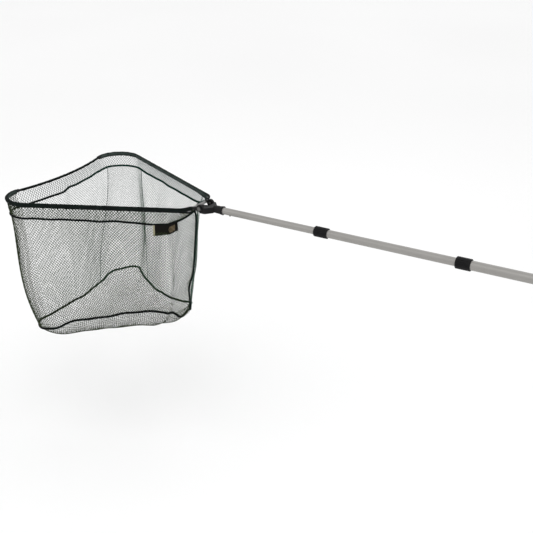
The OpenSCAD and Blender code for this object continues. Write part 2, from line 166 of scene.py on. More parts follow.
def smoothed(points, times):
    """A closed line's points drawn half way to the middle of their neighbours, times over."""
    for _ in range(times):
        mean = (np.roll(points, 1, 0) + np.roll(points, -1, 0)) / 2
        points = points * 0.5 + mean * 0.5
    return points


def hump(value, middle, width, power=2):
    """1 at middle, falling smoothly to nothing about two widths to each side."""
    return np.exp(-(np.abs(value - middle) / width) ** power)


def far_half_outline():
    """From the tip of the far arm back to the handle end, in plan."""
    bend = [corner_point(t) for t in np.linspace(CORNER_TURN, 0, 40)]
    leaves_arm = RUN_START + 0.030 * heading(ARM_HEADING)
    return np.array([*bend, leaves_arm, [END_X - 0.032, 0.062], [END_X - 0.015, 0.038],
                     [END_X - 0.004, 0.018], [END_X, 0.0]])


RING_N = 1440


def mouth_ring():
    """Plan outline of the mouth: handle end, near side, front, far side."""
    far = far_half_outline()
    front = [CORD_CENTRE + CORD_R * heading(t)
             for t in np.linspace(-CORD_HALF, CORD_HALF, 60)]
    ring = np.vstack([mirrored(far), front, far[:-1]])
    return smoothed(resampled(ring, RING_N, closed=True), 30)


RING = mouth_ring()
RING_LEN = np.linalg.norm(np.roll(RING, -1, 0) - RING, axis=1).sum()
AT = np.arange(RING_N) / RING_N

# How far each ring point is on the way from the handle end to the front corners, whether
# it is beside an arm, past the corners or close to the fork; each from 0 to 1
REACH = np.clip((END_X - RING[:, 0]) / (END_X - CORNER_START[0]), 0, 1)
ON_ARMS = np.clip((RING[:, 0] - CORNER_START[0] + 0.02) / 0.06, 0, 1)
PAST_CORNER = np.clip((CORNER_START[0] - RING[:, 0]) / 0.05, 0, 1)
AT_END = hump(RING[:, 0], END_X, 0.05)


def plan_out(ring):
    """Unit vectors in plan that point out of the bag."""
    along = np.roll(ring, -1, 0) - np.roll(ring, 1, 0)
    out = np.column_stack([-along[:, 1], along[:, 0]])
    return out / np.linalg.norm(out, axis=1)[:, None]


def wobble(at, size, waves, seed):
    """A smooth irregular wave round the closed ring, at from 0 to 1."""
    phases = np.random.default_rng(seed).uniform(0, 2 * math.pi, len(waves))
    total = sum(np.sin(2 * math.pi * w * at + p) for w, p in zip(waves, phases))
    return size * total / math.sqrt(len(waves))


# Heights of the bag at the handle end: the netting's top edge under the arms' middle, the
# upper seam and the foot, which rises towards the front
TOP_DROP = 0.0062
SEAM_Z = -0.034
BAG_DEPTH = 0.313
BAG_SLOPE = 0.18


def top_line():
    """Where the netting meets the hems: out along the arms as far as their elbows."""
    y = np.abs(RING[:, 1])
    elbow = hump(y, 0.052, 0.020) * hump(RING[:, 0], END_X, 0.05, 4)
    under_fork = 0.008 * hump(y, 0, 0.025) * AT_END
    plan = RING + elbow[:, None] * (0.011 * plan_out(RING) + [0.014, 0])
    return np.column_stack([plan, FRAME_Z - TOP_DROP - under_fork])


def seam_line():
    """The upper seam: below the mouth, pulled in at the front, drawn up at the fork."""
    x, y = RING[:, 0], RING[:, 1]
    near = np.clip(-y / 0.03, 0, 1)
    drawn_up = hump(x, END_X, 0.032) * (0.016 + 0.30 * np.clip(y, -0.05, 0.03))
    slack = 0.003 * near + 0.004 * near * hump(x, END_X - 0.07, 0.05)
    z = SEAM_Z + drawn_up - slack + wobble(AT, 0.0009, (9, 14, 23), 3)
    front = PAST_CORNER * np.clip((0.262 + y) / 0.06, 0, 1)
    inward = 0.002 + front * (0.008 + 0.008 * near) + wobble(AT, 0.0005, (11, 19), 4)
    return np.column_stack([RING - plan_out(RING) * inward[:, None], z])


def foot_line():
    """The lower seam: the mouth's outline a little smaller, swung to the near side, arched
    up along the near side and drawn in along the far one."""
    x, y = RING[:, 0] - END_X, RING[:, 1]
    foot_x = FOOT_X + 0.933 * x - 0.1255 * y
    foot_y = -0.045 - 0.113 * x + 0.971 * y
    foot_z = -BAG_DEPTH + BAG_SLOPE * (foot_x - FOOT_X)
    near_side, far_side = ON_ARMS * (y < 0), ON_ARMS * (y > 0)
    near_arch = near_side * np.sin(math.pi * REACH ** 0.62)
    far_arch = far_side * np.sin(math.pi * REACH)
    foot_y += 0.010 * near_arch - 0.032 * far_arch
    foot_z += 0.030 * near_arch - 0.004 * far_arch - 0.014 * far_arch ** 0.4
    foot_z += 0.0095 * near_side * hump(REACH, 0.83, 0.13)
    foot_z -= 0.017 * hump(AT, 0.020, 0.017)
    foot_x += wobble(AT, 0.0014, (7, 11, 17), 5)
    foot_z += wobble(AT, 0.0016, (8, 13, 19), 6)
    return np.column_stack([foot_x, foot_y, foot_z])


OUT = np.column_stack([plan_out(RING), np.zeros(RING_N)])
TOP = smoothed(top_line(), 20)
SEAM = smoothed(seam_line(), 4)
FOOT = smoothed(foot_line(), 8)


def on_ring(line, at):
    """Values of a closed line at fractions at of the ring."""
    i = (np.asarray(at) % 1) * RING_N
    low = np.floor(i).astype(int)
    part = (i - low)[..., None]
    return line[low % RING_N] * (1 - part) + line[(low + 1) % RING_N] * part


# How far the walls bulge between the seams, and how much of the end wall's own bend applies
BULGE = smoothed((0.009 - 0.006 * AT_END + 0.008 * PAST_CORNER)[:, None], 60)
END_WALL = hump(RING[:, 0], END_X, 0.012)[:, None]
BAND_SWELL = 0.0015
FOLD_SIZE, FOLDS = 0.0013, 37


def wall_point(at, down):
    """A point of the bag's wall: down is 0 at the hem, 1 at the upper seam, 2 at the foot."""
    top, seam, foot, out = (on_ring(v, at) for v in (TOP, SEAM, FOOT, OUT))
    band = np.clip(down, 0, 1)[..., None]
    drop = np.clip(down - 1, 0, 1)[..., None]
    point = top + (seam - top) * band + (foot - seam) * drop
    swell = BAND_SWELL * np.sin(math.pi * band) + (
        on_ring(BULGE, at) * np.sin(math.pi * drop ** 1.5))
    end_bend = 0.0085 * (1 - np.exp(-drop / 0.04)) - 0.0115 * hump(drop, 0.77, 0.12)
    point[..., :1] += end_bend * on_ring(END_WALL, at)
    lean = wobble(at, 0.0030, (6, 10, 15), 11)[..., None] * np.sin(math.pi * drop)
    fold = FOLD_SIZE * (np.sin(2 * math.pi * (at * FOLDS)[..., None] + 9 * drop) * drop
                        * (1.15 - drop))
    return point + out * (swell + lean + fold)


def ring_at(point):
    """The ring's fraction nearest to a plan point."""
    return float(np.argmin(np.linalg.norm(RING - point, axis=1))) / RING_N


# Panel edges, as ring fractions at the upper seam and at the foot
NEAR_BACK = (ring_at(CORNER_START * [1, -1]),) * 2
NEAR_FRONT = (ring_at(TIP * [1, -1]),) * 2
FAR_FRONT = (ring_at(TIP) + 0.016, ring_at(TIP) - 0.047)
FAR_BACK = (ring_at(CORNER_START) + 0.016, ring_at(CORNER_START) + 0.052)
HANDLE_START, HANDLE_END = (0.0, 0.0), (1.0, 1.0)
EDGE_CURVE = 2.4


def edge_at(edge, down):
    """Ring fraction of a slanting panel edge at a height of the wall."""
    return edge[0] + (edge[1] - edge[0]) * np.clip(down - 1, 0, 1) ** EDGE_CURVE


# ---- mesh helpers --------------------------------------------------------------


def new_piece(name, points, faces, material, smooth=True):
    """A mesh object whose faces all have the same number of corners."""
    mesh = bpy.data.meshes.new(name)
    mesh.vertices.add(len(points))
    mesh.vertices.foreach_set("co", np.asarray(points, np.float32).ravel())
    faces = np.asarray(faces, np.int32)
    mesh.loops.add(faces.size)
    mesh.loops.foreach_set("vertex_index", faces.ravel())
    mesh.polygons.add(len(faces))
    mesh.polygons.foreach_set("loop_start", np.arange(len(faces), dtype=np.int32) * faces.shape[1])
    mesh.polygons.foreach_set("use_smooth", np.full(len(faces), smooth))
    mesh.update(calc_edges=True)
    mesh.validate()
    mesh.materials.append(material)
    piece = bpy.data.objects.new(name, mesh)
    bpy.context.scene.collection.objects.link(piece)
    return piece


def tube_rings(path, side, up, profile):
    """Rings of points round a path: profile is (count, 2) or (rings, count, 2) of side, up."""
    profile = np.asarray(profile, float)
    if profile.ndim == 2:
        profile = np.broadcast_to(profile, (len(path), *profile.shape))
    return (path[:, None] + profile[..., :1] * side[:, None] + profile[..., 1:] * up[:, None])


def tube_faces(rings, sides, closed):
    """Quads between the rings of a tube, and from the last ring to the first if closed."""
    last = rings if closed else rings - 1
    i = np.repeat(np.arange(last), sides)
    k = np.tile(np.arange(sides), last)
    a = i * sides + k
    b = i * sides + (k + 1) % sides
    step = ((i + 1) % rings) * sides
    return np.column_stack([a, b, step + (k + 1) % sides, step + k])


def end_caps(rings, sides):
    """Quads across both ends of an open tube with an even number of sides."""
    caps = []
    for first, turn in ((0, False), ((rings - 1) * sides, True)):
        for k in range(sides // 2 - 1):
            quad = [first + k, first + k + 1, first + sides - 2 - k, first + sides - 1 - k]
            caps.append(quad if turn else quad[::-1])
    return np.array(caps)


def frames_along(path, closed=False, up=(0, 0, 1)):
    """Side and up vectors along a path, kept as level as it allows."""
    if closed:
        along = np.roll(path, -1, 0) - np.roll(path, 1, 0)
    else:
        along = np.gradient(path, axis=0)
    along /= np.linalg.norm(along, axis=1)[:, None]
    side = np.cross(along, np.asarray(up, float))
    side /= np.linalg.norm(side, axis=1)[:, None]
    return side, np.cross(side, along)


def path_length(path, closed=False):
    points = np.vstack([path, path[:1]]) if closed else path
    return float(np.linalg.norm(np.diff(points, axis=0), axis=1).sum())


ROPE_SIDES = 12
ROPE_STEP = 0.0016
PLIES = 3
PLY_PITCH = 0.011
PLY_DEPTH = 0.24    # share of the cord's radius


def rope(name, path, radius, material, closed=False, up=(0, 0, 1)):
    """A laid cord along a path: plies that turn once round in each pitch."""
    length = path_length(path, closed)
    count = max(8, int(length / ROPE_STEP))
    pitch = length / max(1, round(length / PLY_PITCH)) if closed else PLY_PITCH
    path = resampled(path, count, closed)
    span = length * (1 - 1 / count) if closed else length

    along = np.linspace(0, span, count)[:, None]
    around = np.linspace(0, 2 * math.pi, ROPE_SIDES, endpoint=False)[None]
    plies = np.abs(np.cos(PLIES / 2 * (around - 2 * math.pi * along / pitch)))
    r = radius * (1 - PLY_DEPTH + PLY_DEPTH * plies)
    profile = np.stack([r * np.cos(around), r * np.sin(around)], 2)

    side, rise = frames_along(path, closed, up)
    rings = tube_rings(path, side, rise, profile)
    faces = tube_faces(count, ROPE_SIDES, closed)
    if not closed:
        faces = np.vstack([faces, end_caps(count, ROPE_SIDES)])
    return new_piece(name, rings.reshape(-1, 3), faces, material)


# ---- materials -----------------------------------------------------------------


class Shader:
    """A node material built from its Principled shader outwards."""

    def __init__(self, name, **values):
        self.material = bpy.data.materials.new(name)
        self.material.use_nodes = True
        self.tree = self.material.node_tree
        self.main = self.tree.nodes["Principled BSDF"]
        for socket, value in values.items():
            self.main.inputs[socket.replace("_", " ")].default_value = value

    def node(self, kind):
        return self.tree.nodes.new(kind)

    def link(self, out, into):
        self.tree.links.new(out, into)

    def place(self, scale=(1, 1, 1)):
        """Coordinates in the object's own frame, stretched by scale."""
        coords = self.node("ShaderNodeTexCoord")
        mapping = self.node("ShaderNodeMapping")
        mapping.inputs["Scale"].default_value = scale
        self.link(coords.outputs["Object"], mapping.inputs["Vector"])
        return mapping.outputs["Vector"]

    def noise(self, scale, where, detail=3.0, rough=0.55):
        noise = self.node("ShaderNodeTexNoise")
        noise.inputs["Scale"].default_value = scale
        noise.inputs["Detail"].default_value = detail
        noise.inputs["Roughness"].default_value = rough
        self.link(where, noise.inputs["Vector"])
        return noise.outputs["Fac"]

    def ramp(self, value, stops):
        """A colour for each value, from stops of (value, colour)."""
        ramp = self.node("ShaderNodeValToRGB")
        elements = ramp.color_ramp.elements
        for element, (at, colour) in zip(elements, stops):
            element.position = at
            element.color = (*colour, 1)
        self.link(value, ramp.inputs["Fac"])
        return ramp.outputs["Color"]

    def spread(self, value, low, high):
        """value from 0 to 1, laid from low to high."""
        mapped = self.node("ShaderNodeMapRange")
        mapped.inputs["To Min"].default_value = low
        mapped.inputs["To Max"].default_value = high
        self.link(value, mapped.inputs["Value"])
        return mapped.outputs["Result"]

    def blend(self, share, first, second):
        """A mix of two colour outputs or colours by share."""
        mix = self.node("ShaderNodeMix")
        mix.data_type = "RGBA"
        for value, socket in ((share, mix.inputs[0]), (first, mix.inputs[6]),
                              (second, mix.inputs[7])):
            if isinstance(value, bpy.types.NodeSocket):
                self.link(value, socket)
            elif isinstance(value, float):
                socket.default_value = value
            else:
                socket.default_value = (*value, 1)
        return mix.outputs[2]

    def colour(self, socket):
        self.link(socket, self.main.inputs["Base Color"])

    def rough(self, socket):
        self.link(socket, self.main.inputs["Roughness"])

    def bump(self, height, distance, strength=1.0):
        bump = self.node("ShaderNodeBump")
        bump.inputs["Distance"].default_value = distance
        bump.inputs["Strength"].default_value = strength
        self.link(height, bump.inputs["Height"])
        self.link(bump.outputs["Normal"], self.main.inputs["Normal"])


def dimmed(colour, share):
    return tuple(c * share for c in colour)


def aluminium(name, base, rough):
    """Satin drawn tube: fine lines along it and soft handling marks."""
    s = Shader(name, Metallic=0.72)
    lines = s.noise(60.0, s.place((0.35, 40, 40)), 4.0)
    marks = s.noise(22.0, s.place((1, 2, 2)), 3.0)
    tone = s.ramp(marks, [(0.30, dimmed(base, 0.86)), (0.62, base)])
    fine = s.ramp(lines, [(0.35, dimmed(base, 0.93)), (0.65, base)])
    s.colour(s.blend(0.5, tone, fine))
    s.rough(s.spread(lines, rough - 0.06, rough + 0.10))
    s.bump(lines, 0.00004, 0.5)
    return s.material


def steel(name, base, rough):
    """Brushed or turned steel."""
    s = Shader(name, Metallic=1.0)
    lines = s.noise(120.0, s.place((12, 0.8, 12)), 3.0)
    s.colour(s.ramp(lines, [(0.3, dimmed(base, 0.8)), (0.7, base)]))
    s.rough(s.spread(lines, rough - 0.05, rough + 0.12))
    s.bump(lines, 0.00003, 0.5)
    return s.material


def moulded(name, base, rough, grain=900.0):
    """Moulded plastic with a fine spark-eroded grain and slightly rubbed high spots."""
    s = Shader(name, Specular_IOR_Level=0.16)
    fine = s.noise(grain, s.place(), 2.0)
    wear = s.noise(45.0, s.place(), 4.0, 0.65)
    lighter = tuple(c * 1.9 + 0.004 for c in base)
    s.colour(s.ramp(wear, [(0.42, base), (0.78, lighter)]))
    s.rough(s.spread(wear, rough - 0.08, rough + 0.10))
    s.bump(fine, 0.00006, 0.6)
    return s.material


def foam():
    """Closed-cell foam of the grip, with small open cells at its skin."""
    s = Shader("grip_foam_finish")
    cells = s.node("ShaderNodeTexVoronoi")
    cells.inputs["Scale"].default_value = 950.0
    s.link(s.place(), cells.inputs["Vector"])
    shade = s.noise(30.0, s.place(), 3.0)
    s.colour(s.ramp(shade, [(0.3, (0.014, 0.014, 0.015)), (0.7, (0.032, 0.032, 0.034))]))
    s.rough(s.spread(shade, 0.78, 0.92))
    s.bump(cells.outputs["Distance"], 0.0002, 0.8)
    return s.material


def dyed(name, dark, light, far_side_light=None):
    """Dyed thread or cord: fine fibres and uneven dye; a lighter colour on the far side is painted light, standing
    in for the light that falls there.
    """
    s = Shader(name, Specular_IOR_Level=0.15)
    fibres = s.noise(1500.0, s.place(), 2.0)
    dye = s.noise(28.0, s.place(), 3.0)
    tone = s.ramp(dye, [(0.38, dark), (0.66, light)])
    # Painted light: the tone blends towards a lighter colour as the object's Y grows, so the far side looks lit.
    if far_side_light is not None:
        coords = s.node("ShaderNodeTexCoord")
        split = s.node("ShaderNodeSeparateXYZ")
        s.link(coords.outputs["Object"], split.inputs["Vector"])
        share = s.node("ShaderNodeMapRange")
        share.inputs["From Min"].default_value = -0.05
        share.inputs["From Max"].default_value = 0.16
        s.link(split.outputs["Y"], share.inputs["Value"])
        tone = s.blend(share.outputs["Result"], tone, far_side_light)
    s.colour(s.blend(s.spread(fibres, 0.0, 0.35), tone, dimmed(dark, 0.5)))
    s.rough(s.spread(fibres, 0.77, 0.93))
    s.bump(fibres, 0.00015, 0.6)
    return s.material


def hem_cloth():
    """Woven cloth of the hems: fine crossing threads, with a paler inner face."""
    s = Shader("hem_cloth_finish", Specular_IOR_Level=0.12)
    face = s.node("ShaderNodeAttribute")
    face.attribute_name = "pale_face"
    one = s.noise(1100.0, s.place((1, 0.25, 1)), 1.0)
    other = s.noise(1100.0, s.place((0.25, 1, 1)), 1.0)
    dye = s.noise(35.0, s.place(), 3.0)
    weave = s.node("ShaderNodeMath")    # adds the two sets of threads
    s.link(one, weave.inputs[0])
    s.link(other, weave.inputs[1])
    dark = s.ramp(dye, [(0.35, (0.0015, 0.0030, 0.0026)), (0.7, (0.0045, 0.009, 0.0075))])
    pale = s.ramp(dye, [(0.35, (0.022, 0.032, 0.029)), (0.7, (0.050, 0.066, 0.060))])
    s.colour(s.blend(face.outputs["Fac"], dark, pale))
    s.rough(s.spread(dye, 0.80, 0.95))
    s.bump(weave.outputs[0], 0.00025, 0.7)
    return s.material


def twine(name, dark, light):
    """The netting's twine, with its dye a little uneven."""
    s = Shader(name, Specular_IOR_Level=0.15)
    dye = s.noise(18.0, s.place(), 3.0)
    s.colour(s.ramp(dye, [(0.35, dark), (0.68, light)]))
    s.rough(s.spread(dye, 0.62, 0.80))
    return s.material


def tag_cloth():
    """Woven label: near-black satin ground."""
    s = Shader("tag_ground", Specular_IOR_Level=0.08)
    threads = s.noise(1400.0, s.place((1, 1, 0.2)), 1.0)
    s.colour(s.ramp(threads, [(0.35, (0.002, 0.002, 0.0015)), (0.7, (0.007, 0.0065, 0.0045))]))
    s.rough(s.spread(threads, 0.55, 0.75))
    s.bump(threads, 0.0001, 0.6)
    return s.material


def thread(name, base):
    """Embroidery and stitching thread."""
    s = Shader(name, Sheen_Weight=0.3)
    fibres = s.noise(2200.0, s.place(), 2.0)
    s.colour(s.ramp(fibres, [(0.3, dimmed(base, 0.6)), (0.7, base)]))
    s.rough(s.spread(fibres, 0.45, 0.65))
    s.bump(fibres, 0.0001, 0.5)
    return s.material


TUBE = aluminium("tube_aluminium_finish", (0.33, 0.32, 0.305), 0.38)
ARM = aluminium("arm_aluminium_finish", (0.016, 0.017, 0.018), 0.42)
PLATE = steel("plate_steel_finish", (0.22, 0.22, 0.22), 0.40)
RIVET = steel("rivet_steel_finish", (0.17, 0.17, 0.165), 0.34)
PLASTIC = moulded("black_plastic_finish", (0.006, 0.006, 0.007), 0.52)
COLLAR = moulded("collar_plastic_finish", (0.002, 0.002, 0.0025), 0.50)
FORK = moulded("fork_plastic_finish", (0.0025, 0.0025, 0.003), 0.44, 700.0)
FOAM = foam()
# The last colour is painted light: the black-green cord's far side drawn teal, as it looks where lit.
CORD = dyed("seam_cord_finish", (0.0010, 0.0022, 0.0020), (0.0022, 0.0060, 0.0050),
            (0.003, 0.030, 0.021))
# Painted light: the far upright seams' cord drawn teal, as the black-green cord looks where lit.
LIT_FAR_SEAM = dyed("far_seam_painted_light", (0.020, 0.045, 0.038), (0.045, 0.085, 0.072))
HEM = hem_cloth()
TWINE = twine("netting_twine", (0.016, 0.025, 0.009), (0.036, 0.050, 0.020))
# Painted light: a lighter, tealer copy of the same dark green twine, as it looks where lit, for the front and far
# walls.
LIT_FAR_TWINE = twine("far_netting_twine_painted_light", (0.022, 0.056, 0.036), (0.045, 0.096, 0.064))
# Painted light: a tealer, slightly lighter copy of the twine for the far band, as it looks where lit.
BAND = twine("far_band_twine_painted_light", (0.008, 0.034, 0.025), (0.018, 0.058, 0.044))
TAG = tag_cloth()
GOLD = thread("gold_thread", (0.13, 0.085, 0.020))
PALE = thread("pale_thread", (0.55, 0.52, 0.33))


def paint_frame():
    """Gives every CAD node that stays its finish, by its material slot in the record."""
    finishes = {
        "tube_aluminium": TUBE, "arm_aluminium": ARM, "plate_steel": PLATE,
        "rivet_steel": RIVET, "black_plastic": PLASTIC, "collar_plastic": COLLAR,
        "fork_plastic": FORK, "grip_foam": FOAM, "seam_cord": CORD, "hem_cloth": HEM,
        "netting": TWINE, "tag_cloth": TAG,
    }
    for part in frame["record"]["subparts"]:
        mesh = frame["nodes"][part["node"]].data
        mesh.materials.clear()
        mesh.materials.append(finishes[part["material_slot"]])


paint_frame()

# ---- netting -------------------------------------------------------------------

MESH = 0.0060
TWINE_SQUARE = np.array([[1, 0], [0, 1], [-1, 0], [0, -1]])
WEAVE_LIFT = 0.8    # share of the twine's radius
TWINE_R = 0.00040
NEAR_TWINE_R = 0.00066
BOTTOM_TWINE_R = 0.00045
BAND_TWINE_R = 0.00062
NEAR_BAND_TWINE_R = 0.00094


def strands(point_at, down, span, drop):
    """Both families of crossing strands over a panel, as (points, weave) for each strand.

    point_at gives the surface from a share across the panel and a height, down is the
    panel's upper and lower height, and span and drop are its size in metres. weave is 1
    where a strand passes over the other family and -1 where it passes under."""
    step = MESH / 2
    columns = max(2, int(round(span / (MESH * math.sqrt(2)))))
    pitch = span / columns
    lines = []
    rows = int(math.ceil(drop / step))
    fall = np.arange(rows + 1) * (drop / rows)
    for family in (1, -1):
        reach = int(math.ceil(drop / pitch)) + 1
        for start in range(-reach, columns + reach + 1):
            x = start * pitch + family * fall
            inside = (x > -1e-9) & (x < span + 1e-9)
            if inside.sum() < 2:
                continue
            across = np.clip(x[inside] / span, 0, 1)
            height = down[0] + (down[1] - down[0]) * fall[inside] / drop
            weave = family * np.cos(2 * math.pi * fall[inside] / pitch + math.pi * start)
            lines.append((point_at(across, height), weave))
    return lines


BAG_CENTRE = np.array([*RING.mean(0), -0.17])


def out_of_bag(points):
    """A direction out of the bag at each point, good enough to frame the twine."""
    out = points - BAG_CENTRE
    return out / np.linalg.norm(out, axis=1)[:, None]


def net_piece(name, lines, radius, material):
    """Four-sided twine along every line, lifted over and under by the weave."""
    points, faces, count = [], [], 0
    for path, weave in lines:
        along = np.gradient(path, axis=0)
        along /= np.linalg.norm(along, axis=1)[:, None] + 1e-12
        side = np.cross(along, out_of_bag(path))
        side /= np.linalg.norm(side, axis=1)[:, None] + 1e-12
        rise = np.cross(side, along)
        path = path + rise * (weave * radius * WEAVE_LIFT)[:, None]
        rings = tube_rings(path, side, rise, radius * TWINE_SQUARE)
        n = len(path)
        quads = np.vstack([tube_faces(n, 4, False), end_caps(n, 4)])
        points.append(rings.reshape(-1, 3))
        faces.append(quads + count)
        count += n * 4
    piece = new_piece(name, np.vstack(points), np.vstack(faces), material)
    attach(piece, "head")
    return piece


def wall_net(name, first, last, top, low, radius, material):
    """One wall panel from edge first to edge last, between two heights."""
    span = (last[0] + last[1] - first[0] - first[1]) / 2 * RING_LEN
    middle = np.linspace(first[0], last[0], 9)
    upper = wall_point(middle, np.full(9, float(top)))
    lower = wall_point(middle, np.full(9, float(low)))
    drop = float(np.linalg.norm(upper - lower, axis=1).mean())

    def panel_point(across, down):
        start, end = edge_at(first, down), edge_at(last, down)
        return wall_point(start + (end - start) * across, down)

    return net_piece(name, strands(panel_point, (top, low), span, drop), radius, material)


PANELS = {
    "near_side_net": (HANDLE_START, NEAR_BACK), "near_corner_net": (NEAR_BACK, NEAR_FRONT),
    "front_net": (NEAR_FRONT, FAR_FRONT), "far_corner_net": (FAR_FRONT, FAR_BACK),
    "far_side_net": (FAR_BACK, HANDLE_END),
}
for node_name, (first, last) in PANELS.items():
    near = node_name.startswith("near")
    # Walls other than the near ones get the twine's painted-light copy.
    panel = wall_net(node_name.replace("_net", "_netting"), first, last, 1, 2,
                     NEAR_TWINE_R if near else TWINE_R, TWINE if near else LIT_FAR_TWINE)
    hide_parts(node_name)
wall_net("near_band_netting", HANDLE_START, NEAR_FRONT, 0, 1, NEAR_BAND_TWINE_R, TWINE)
# The far band gets the twine's painted-light copy.
wall_net("far_band_netting", NEAR_FRONT, HANDLE_END, 0, 1, BAND_TWINE_R, BAND)

# ---- bottom panel --------------------------------------------------------------

# The lower seam again, anticlockwise, and the direction of each of its points
FOOT_MID = FOOT.mean(0)
FOOT_ROUND = FOOT[::-1]
FOOT_ANGLE = np.unwrap(np.arctan2(*(FOOT - FOOT_MID)[:, 1::-1].T))[::-1]
BOTTOM_SAG = 0.046


def bottom_point(x, y):
    """The bottom panel over plan points, and how far out each lies, 1 at the seam."""
    dx, dy = x - FOOT_MID[0], y - FOOT_MID[1]
    start = FOOT_ANGLE[0]
    angle = start + (np.arctan2(dy, dx) - start) % (2 * math.pi)
    angles = np.append(FOOT_ANGLE, start + 2 * math.pi)
    edge = [np.interp(angle, angles, np.append(FOOT_ROUND[:, k], FOOT_ROUND[0, k]))
            for k in range(3)]
    reach = np.hypot(edge[0] - FOOT_MID[0], edge[1] - FOOT_MID[1])
    share = np.hypot(dx, dy) / np.maximum(reach, 1e-9)
    within = np.clip(share, 0, 1)
    level = -BAG_DEPTH + BAG_SLOPE * (x - FOOT_X)
    edge_level = -BAG_DEPTH + BAG_SLOPE * (edge[0] - FOOT_X)
    ripple = 0.002 * np.sin(60 * x + 35 * y) * (1 - share ** 2)
    z = (level + (edge[2] - edge_level) * within ** 5 - BOTTOM_SAG * (1 - within ** 7)
         + ripple)
    return np.stack([x, y, z], -1), share


def bottom_net():
    """Both families of strands, on the slant over the bottom and cut at its seam."""
    low, high = FOOT.min(0), FOOT.max(0)
    centre = (low + high) / 2
    half = 0.5 * float(np.linalg.norm((high - low)[:2]))
    lines = []
    at = np.arange(-half, half, MESH / 2)
    for family in (1, -1):
        way, cross = heading(math.radians(45 * family)), heading(math.radians(45 * family + 90))
        for row, offset in enumerate(np.arange(-half, half, MESH)):
            x = centre[0] + at * way[0] + offset * cross[0]
            y = centre[1] + at * way[1] + offset * cross[1]
            point, share = bottom_point(x, y)
            inside = share < 1
            if inside.sum() < 3:
                continue
            edges = np.flatnonzero(np.diff(inside.astype(int)))
            weave = family * np.cos(math.pi * at / MESH + math.pi * row)
            for run in np.split(np.arange(len(at)), edges + 1):
                if inside[run[0]] and len(run) > 2:
                    lines.append((point[run], weave[run]))
    panel = net_piece("bottom_netting", lines, BOTTOM_TWINE_R, TWINE)
    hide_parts("bottom_net")


bottom_net()

# ---- seams ---------------------------------------------------------------------


def seam(name, path, radius, material, node_name=None, closed=True, up=(0, 0, 1)):
    cord = rope(name, path, radius, material, closed, up)
    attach(cord, "head")
    if node_name:
        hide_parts(node_name)
    return cord


seam("upper_seam", SEAM + OUT * 0.0008, 0.0034, CORD, "upper_seam_cord")
seam("lower_seam", FOOT, 0.0036, CORD, "lower_seam_cord")


def upright_path(edge):
    """Down a panel's edge, just outside the netting."""
    down = np.linspace(1.0, 2.0, 60)
    at = edge_at(edge, down)
    return wall_point(at, down) + on_ring(OUT, at) * 0.0006


seam("end_upright_seam", upright_path(HANDLE_START)[:-1], 0.0031, CORD, "upright_seams",
     False, (0, 1, 0))
for label, edge, radius, finish in (
        ("near_front", NEAR_FRONT, 0.0004, TWINE), ("near_back", NEAR_BACK, 0.0004, TWINE),
        # The far seams take the cord's painted-light copy.
        ("far_front", FAR_FRONT, 0.0010, LIT_FAR_SEAM), ("far_back", FAR_BACK, 0.0010, LIT_FAR_SEAM)):
    seam(label + "_upright_seam", upright_path(edge), radius, finish, closed=False,
         up=(0, 1, 0))

# ---- hems ----------------------------------------------------------------------

HEM_R = 0.0054
FRONT_HEM_R = 0.0033
HEM_CLOTH = 0.00035
HEM_STEP = 0.002
CREASES = 14
CREASE_SIZE = 0.00007


def hem_profile(length, around, count, radius, flange, gather, seed):
    """Cross-sections of a cloth sleeve: round over the tube, sewn shut in a flange below.
    gather is how much deeper the flange gets, where along the run, and over what reach."""
    along = np.linspace(0, length, count)[:, None]
    below = np.clip(-np.sin(around) - 0.55, 0, 1) / 0.45
    sections = np.stack([np.cos(around), np.sin(around)], 1) * radius
    sections = np.repeat(sections[None], count, 0)
    deeper, middle, reach = gather
    sections[..., 0] *= 1 - 0.55 * below
    sections[..., 1] -= (flange + deeper * hump(along, middle, reach)) * below

    local = np.random.default_rng(seed)
    crease = np.zeros((count, len(around)))
    for _ in range(CREASES):
        wave = local.uniform(0.006, 0.045)
        phase = local.uniform(0, 2 * math.pi, 2)
        crease += np.sin(2 * math.pi * along / wave + phase[0]
                         + local.integers(-2, 3) * around[None] + phase[1])
    return sections * (1 + crease[..., None] * CREASE_SIZE / radius)


def hem(name, path, radius, flange, gather, node_name, seed, inner_side):
    """A double-walled cloth sleeve along a path, open at both ends. inner_side is 1 or -1
    for the side of the path on which its paler inner face shows."""
    length = path_length(path)
    count = max(20, int(length / HEM_STEP))
    path = resampled(path, count)
    around = np.linspace(0, 2 * math.pi, 24, endpoint=False)
    profile = hem_profile(length, around, count, radius, flange, gather, seed)
    side, rise = frames_along(path)
    outer = tube_rings(path, side, rise, profile).reshape(-1, 3)
    inner = tube_rings(path, side, rise, profile * (1 - HEM_CLOTH / radius)).reshape(-1, 3)
    wall = tube_faces(count, len(around), False)
    k = np.arange(len(around))
    rim = np.column_stack([k, k + len(outer), (k + 1) % len(around) + len(outer),
                           (k + 1) % len(around)])
    last = rim[:, ::-1] + (count - 1) * len(around)
    sleeve = new_piece(name, np.vstack([outer, inner]),
                       np.vstack([wall, wall[:, ::-1] + len(outer), rim, last]), HEM)
    face = sleeve.data.attributes.new("pale_face", "FLOAT", "POINT")
    stripe = np.clip((inner_side * np.cos(around) - 0.55) * 5, 0, 1)
    face.data.foreach_set("value", np.tile(stripe, 2 * count).astype(np.float32))
    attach(sleeve, "head")
    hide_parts(node_name)


def elbow_curve():
    """The bent run of the arm from its tongue to the straight, as a round bend."""
    first = ELBOW + (TUBE_START - ELBOW) * 0.2
    t = np.linspace(0, 1, 16)[:, None]
    bend = (1 - t) ** 2 * first + 2 * t * (1 - t) * ELBOW + t ** 2 * RUN_START
    return np.vstack([TUBE_START + 0.001 * heading(2.0), bend])


def lifted(plan):
    """Plan points at the height of the arms' middle."""
    return np.column_stack([plan, np.full(len(plan), FRAME_Z)])


